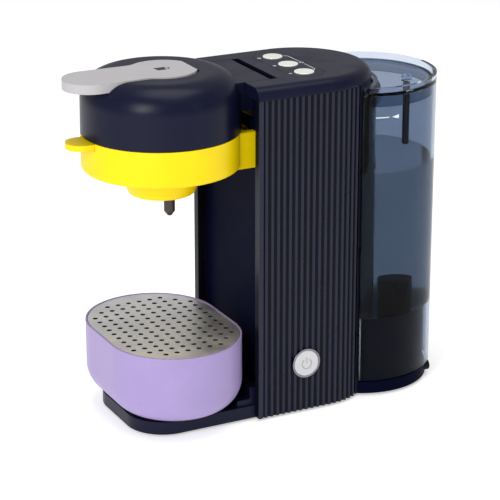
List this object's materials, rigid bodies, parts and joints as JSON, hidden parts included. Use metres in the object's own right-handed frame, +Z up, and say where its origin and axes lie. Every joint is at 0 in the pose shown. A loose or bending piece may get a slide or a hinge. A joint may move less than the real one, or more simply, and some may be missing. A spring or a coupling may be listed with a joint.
{
  "type": "pod coffee machine",
  "caption": "Compact pod coffee machine with a hinged brew head and lever, capsule adapter, round-ended drip tray, ribbed column and wrap-round clear water tank.",
  "frame": {"origin": "centre of the bounding box at the surface that the feet stand on", "axes": "+Z up, -Y out of the front where the cup stands, +X to the machine's right as seen from the front"},
  "size_m": [0.142, 0.304, 0.2704],
  "materials": {
    "navy_plastic": "satin moulded ABS, navy",
    "black_plastic": "matt black",
    "yellow_plastic": "satin moulded plastic, yellow",
    "lilac_plastic": "satin moulded plastic, lilac",
    "grey_plastic": "satin moulded plastic, light grey",
    "white_plastic": "gloss white key",
    "brown_plastic": "dark brown spout",
    "steel": "brushed stainless steel",
    "ring_chrome": "dark chrome ring",
    "clear_tank": "clear blue-tinted plastic",
    "rubber": "soft rubber",
    "clear_hose": "silicone hose",
    "aluminium": "cast aluminium",
    "board": "circuit board",
    "chassis_grey": "filled nylon"
  },
  "bodies": {
    "root": {"base_plinth": "navy_plastic", "bottom_plate": "black_plastic", "rubber_feet": "rubber", "right_side_panel": "navy_plastic", "left_side_panel": "navy_plastic", "rear_cover": "navy_plastic", "top_cover": "navy_plastic", "key_plate": "navy_plastic", "column_front_cover": "black_plastic", "tank_pedestal": "navy_plastic", "chassis": "chassis_grey", "capsule_bracket": "yellow_plastic", "capsule_adapter": "yellow_plastic", "outlet_nozzle": "brown_plastic", "head_hinge_pin": "steel", "inlet_socket": "chassis_grey", "inlet_seal": "rubber", "key_switches": "black_plastic", "control_board": "board", "power_key_ring": "ring_chrome", "power_switch": "black_plastic", "water_pump": "chassis_grey", "pump_mounts": "rubber", "pump_cradle": "chassis_grey", "flow_meter": "chassis_grey", "boiler": "aluminium", "boiler_brackets": "steel", "suction_hose": "clear_hose", "feed_hose": "clear_hose", "boiler_hose": "clear_hose", "hinge_fitting": "black_plastic", "power_board": "board", "board_parts": "black_plastic", "cable_gland": "black_plastic", "cover_screws": "steel", "bracket_screws": "steel"},
    "head": {"head_shell": "navy_plastic", "lever_pin": "steel", "head_underplate": "black_plastic", "injection_block": "aluminium", "piercing_plate": "steel", "chamber_seal": "rubber"},
    "lever": {"lever": "grey_plastic"},
    "latch": {"latch_bar": "black_plastic"},
    "left_key": {"left_key": "white_plastic"},
    "middle_key": {"middle_key": "white_plastic"},
    "right_key": {"right_key": "white_plastic"},
    "power_key": {"power_key": "grey_plastic"},
    "tray": {"drip_tray": "lilac_plastic"},
    "grille": {"drip_grille": "steel"},
    "tank": {"water_tank": "clear_tank", "tank_valve": "black_plastic", "tank_strainer": "steel"},
    "lid": {"tank_lid": "clear_tank", "lid_collar": "black_plastic", "level_guide": "black_plastic"}
  },
  "joints": [
    {"name": "head_swing", "type": "hinge", "parent": "root", "child": "head", "pos_m": [0, -0.0025, 0.254], "axis": [-1, 0, 0], "range_deg": [0, 60]},
    {"name": "lever_lift", "type": "hinge", "parent": "head", "child": "lever", "pos_m": [0, -0.0555, 0.2675], "axis": [-1, 0, 0], "range_deg": [0, 35]},
    {"name": "latch_slide", "type": "slide", "parent": "head", "child": "latch", "axis": [0, 1, 0], "range_m": [0, 0.004]},
    {"name": "left_key_press", "type": "slide", "parent": "root", "child": "left_key", "axis": [0, 0, -1], "range_m": [0, 0.001], "stiffness_N_per_m": 900},
    {"name": "middle_key_press", "type": "slide", "parent": "root", "child": "middle_key", "axis": [0, 0, -1], "range_m": [0, 0.001], "stiffness_N_per_m": 900},
    {"name": "right_key_press", "type": "slide", "parent": "root", "child": "right_key", "axis": [0, 0, -1], "range_m": [0, 0.001], "stiffness_N_per_m": 900},
    {"name": "power_key_press", "type": "slide", "parent": "root", "child": "power_key", "axis": [-1, 0, 0], "range_m": [0, 0.0012], "stiffness_N_per_m": 900},
    {"name": "tray_slide", "type": "slide", "parent": "root", "child": "tray", "axis": [0, -1, 0], "range_m": [0, 0.1]},
    {"name": "grille_lift", "type": "slide", "parent": "tray", "child": "grille", "axis": [0, 0, 1], "range_m": [0, 0.04]},
    {"name": "tank_lift", "type": "slide", "parent": "root", "child": "tank", "axis": [0, 0, 1], "range_m": [0, 0.07]},
    {"name": "lid_lift", "type": "slide", "parent": "tank", "child": "lid", "axis": [0, 0, 1], "range_m": [0, 0.06]}
  ],
  "couplings": [
    {"joint": "latch_slide", "follows": "lever_lift", "m_per_rad": 0.00655}
  ]
}
